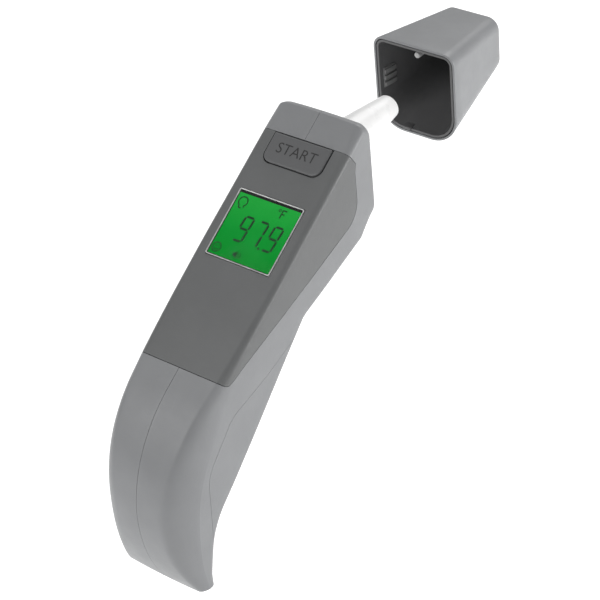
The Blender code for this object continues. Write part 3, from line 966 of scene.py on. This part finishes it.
def make_probe():
    """The hollow cone, on a flange inside the head, with a rolled lip at its tip."""
    base, tip, length = PROBE_BASE, PROBE_TIP, PROBE_LENGTH
    flange = base + 1.2
    bore = base - 1.3
    profile = [(bore, -5.4), (flange, -5.4), (flange, -3.9), (base, -3.9), (base, -0.4)]
    for i in range(1, 9):
        share = i / 9
        bulge = 0.12 * math.sin(math.pi * share)
        profile.append((base + (tip + 0.1 - base) * share + bulge, (length - 1.2) * share))
    for i in range(7):
        turn = math.pi / 2 * i / 6
        profile.append((tip - 0.75 + 0.75 * math.cos(turn), length - 0.8 + 0.8 * math.sin(turn)))
    profile += [(tip - 1.35, length - 0.05), (tip - 1.45, length - 0.5), (tip - 1.5, length - 1.3)]
    profile += [(bore, 0.0)]
    probe = turned("probe_skin", profile, (0, RIM_Y, PROBE_Z))
    finish(probe, WHITE, "thermometer", ["probe_cone"])
    make_collar()


def make_collar():
    """The plate that closes the head, with the lip that the cap fits round."""
    plate_rings = []
    for inset, y in ((1.85, -3.5), (1.85, -0.5), (2.0, -0.25)):
        ring = section(smooth_station(0), inset)
        plate_rings.append([(p[0], RIM_Y + y, p[2]) for p in ring])
    collar = loft("collar_plate", plate_rings)
    lip_rings = []
    for inset, y in ((2.7, -1.5), (2.7, 0.95), (2.8, 1.2), (3.1, 1.3)):
        lip_rings.append([(x, RIM_Y + y, z) for x, _, z in cap_outline(inset, 0)])
    combine(collar, loft("lip", lip_rings), "UNION")
    combine(collar, plug("collar_hole", PROBE_BASE + 0.5, PROBE_Z, 96))
    combine(collar, plug("mode_hole", 1.45, MODE_PIN_Z, 40))
    left, right = -6.1, -1.9
    low, high = RIM_BOTTOM + 2.5, RIM_BOTTOM + 5.3
    notch = rounded([(left, low, 0.3), (right, low, 0.3), (right, high, 0.3), (left, high, 0.3)])
    notch_rings = [[(p[0], RIM_Y + y, p[1]) for p in notch] for y in (-1.2, 3)]
    combine(collar, loft("tab_notch", notch_rings))
    shade(collar)
    finish(collar, CASE, "thermometer", ["probe_collar"])


def plug(name, radius, z, sides):
    """A round cutter along the probe, through the collar."""
    ring = []
    for i in range(sides):
        angle = 2 * math.pi * i / sides
        ring.append((radius * math.cos(angle), radius * math.sin(angle)))
    return loft(name, [[(x, RIM_Y + y, z + h) for x, h in ring] for y in (-9, 9)])


def cap_outline(inset, along):
    """The cap's outline at a distance from its mouth."""
    share = along / CAP_LENGTH
    half = RIM_HALF - 0.7 - CAP_TAPER_SIDE * share - inset
    top = RIM_TOP + 0.2 - CAP_TAPER_TOP * share - inset
    bottom = RIM_BOTTOM + 1.9 + CAP_TAPER_BOTTOM * share + inset
    upper = 4.4 - min(inset, 3.6)
    lower = 11.0 - 5.5 * share - inset
    corners = [(-half, bottom, lower), (half, bottom, lower), (half, top, upper), (-half, top, upper)]
    return [(p[0], CAP_MOUTH_Y + along, p[1]) for p in rounded(corners, 14)]


def make_cap():
    make_cap_shell()
    make_cap_liner()
    pin = turned(
        "mode_pin_skin",
        [(0.02, 2.0), (0.75, 2.0), (1.0, 2.12), (1.1, 2.4), (1.1, 7.3), (0.02, 7.3)],
        (0, CAP_MOUTH_Y, MODE_PIN_Z),
        sides=40,
    )
    finish(pin, PIN, "cap", ["cap_mode_pin"])


def make_cap_shell():
    """The outer shell: a broken edge at the mouth, straight walls and a rounded far edge."""
    far_edge = 1.1
    stops = [(0.35, 0.0), (0.1, 0.08), (0.0, 0.35)]
    stops += [(0.0, CAP_LENGTH * k / 8) for k in range(1, 8)]
    for i in range(7):
        turn = math.pi / 2 * i / 6
        inset = far_edge - far_edge * math.cos(turn)
        stops.append((inset, CAP_LENGTH - far_edge + far_edge * math.sin(turn)))
    shell = loft("cap_outer", [cap_outline(inset, along) for inset, along in stops], 25)
    combine(shell, loft("shell_hollow", [cap_outline(0.8, -1), cap_outline(0.8, CAP_LENGTH - 0.9)]))
    shade(shell, 25)
    finish(shell, CASE, "cap", ["cap_shell"])


def make_cap_liner():
    """The dark liner with its web and tab, and the ribbed pads on its side walls."""
    outside = [(1.25, 0.12), (1.1, 0.3), (1.1, CAP_LENGTH - 1.2)]
    inside = [(1.85, -1), (2.0, 0.6), (2.0, CAP_LENGTH - 1.9)]
    liner = loft("cap_inner", [cap_outline(inset, along) for inset, along in outside])
    combine(liner, loft("liner_hollow", [cap_outline(inset, along) for inset, along in inside]))
    middle = (RIM_TOP + RIM_BOTTOM) / 2 + 1.4
    lean = 0.15  # follows the side walls
    ribs = []
    for side in (-1, 1):
        turn = (0, 0, side * lean)
        ribs.append(cap_bar("pad", (side * 14.0, 4.4, middle), (1.0, 5.4, 7.6), turn))
        for k in (-1, 0, 1):
            place = (side * 13.5, 4.5, middle + 2.4 * k)
            ribs.append(cap_bar("rib", place, (1.2, 5.4, 1.5), turn))
    straight = (0, 0, 0)
    combine(liner, cap_bar("web", (0, 14.0, MODE_PIN_Z + 0.5), (1.4, 18.0, 3.0), (-0.106, 0, 0)), "UNION")
    combine(liner, cap_bar("tab", (-4.0, 0.7, RIM_BOTTOM + 4.1), (3.0, 3.0, 1.1), straight), "UNION")
    combine(liner, cap_bar("pin_slot", (0, 3.3, MODE_PIN_Z), (4.0, 8.6, 4.6), straight))
    shade(liner)
    finish(liner, LINER, "cap", ["cap_liner"])
    finish(join("snap_ribs", ribs), RIB, "cap")


def cap_bar(name, place, size, turn):
    """A bar with broken edges inside the cap, placed from the mouth."""
    work = bmesh.new()
    bmesh.ops.create_cube(work, size=1, matrix=Matrix.Diagonal((*size, 1)))
    bmesh.ops.bevel(work, geom=work.edges[:], offset=0.18, segments=2, affect="EDGES", profile=0.5)
    spin = Matrix.Rotation(turn[2], 4, "Z") @ Matrix.Rotation(turn[0], 4, "X")
    middle = Vector(place) + Vector((0, CAP_MOUTH_Y, 0))
    bmesh.ops.transform(work, matrix=Matrix.Translation(middle) @ spin, verts=work.verts)
    return thing_of(name, work)


# ---------------------------------------------------------------- kept nodes

KEPT = {
    "battery_tray": INNER,
    "buzzer": INNER,
    "case_screw_1": STEEL,
    "case_screw_2": STEEL,
    "case_screw_3": STEEL,
    "cell_left": WRAP,
    "cell_right": WRAP,
    "contact_bridge": STEEL,
    "contact_plate_left": STEEL,
    "contact_plate_right": STEEL,
    "contact_spring_left": STEEL,
    "contact_spring_right": STEEL,
    "display_connector": INNER,
    "display_holder": INNER,
    "display_light": PALE,
    "main_board": BOARD,
    "mode_plunger": PALE,
    "mode_switch": INNER,
    "probe_filter": LENS,
    "processor": INNER,
    "sensor_board": BOARD,
    "sensor_can": STEEL,
    "sensor_holder": BRASS,
    "start_switch": INNER,
    "switch_plunger": PALE,
    "waveguide": BRASS,
}


def dress_kept():
    for name, material in KEPT.items():
        node = frame["nodes"][name]
        for slot in node.material_slots:
            slot.material = material


# ---------------------------------------------------------------- stage, light and camera


def area_light(name, place, target, size, power):
    lamp = bpy.data.lights.new(name, "AREA")
    lamp.shape = "RECTANGLE"
    lamp.size, lamp.size_y = size
    lamp.energy = power
    made = bpy.data.objects.new(name, lamp)
    made.location = place
    made.rotation_euler = (Vector(target) - Vector(place)).to_track_quat("-Z", "Y").to_euler()
    bpy.context.scene.collection.objects.link(made)


FLOOR_DROP = 0.045  # keeps the object's shadow soft and out of sight
FLOOR_HALF = 6.0


def make_stage():
    work = bmesh.new()
    bmesh.ops.create_grid(work, x_segments=8, y_segments=8, size=FLOOR_HALF)
    mesh = bpy.data.meshes.new("floor")
    work.to_mesh(mesh)
    work.free()
    floor = bpy.data.objects.new("floor", mesh)
    floor.location = (0, 0, -FLOOR_DROP)
    bpy.context.scene.collection.objects.link(floor)
    made = Nodes("floor_white", (0.92, 0.92, 0.92), 0.7, Emission_Strength=0.45)
    made.shader.inputs["Emission Color"].default_value = (1, 1, 1, 1)
    made.colour(made.ramp(made.noise(3, 2), [(0.3, 0.915), (0.7, 0.93)]))
    floor.data.materials.append(made.material)

    world = bpy.data.worlds.new("studio")
    bpy.context.scene.world = world
    world.use_nodes = True
    world.node_tree.nodes["Background"].inputs["Color"].default_value = (1, 1, 1, 1)
    world.node_tree.nodes["Background"].inputs["Strength"].default_value = 0.3

    middle = (0, 0, 0.07)
    area_light("side", (0.85, 0.4, 0.1), (0, -0.03, 0.06), (0.5, 0.6), 5.9)
    area_light("front", (-0.35, -0.75, 0.7), middle, (0.7, 0.7), 4.4)
    area_light("top", (-0.15, 0.75, 0.9), middle, (0.7, 0.7), 5.5)


def make_camera():
    """The camera stands high on the user's right, in front of the display."""
    eye = bpy.data.cameras.new("camera")
    eye.lens = 120
    eye.sensor_width = 36
    eye.clip_start = 0.01
    made = bpy.data.objects.new("camera", eye)
    forward = Vector((-0.53338, 0.61272, -0.58316)).normalized()
    right = forward.cross(Vector((-0.30407, 0.50445, 0.80813))).normalized()
    up = right.cross(forward)
    place = DATUM * MM + Vector((0.35058, -0.41261, 0.32712))
    made.matrix_world = Matrix.Translation(place) @ Matrix((right, up, -forward)).transposed().to_4x4()
    bpy.context.scene.collection.objects.link(made)
    bpy.context.scene.camera = made


bpy.context.scene.view_settings.view_transform = "Standard"
make_case()
make_button()
make_display()
make_probe()
make_cap()
dress_kept()
make_stage()
make_camera()
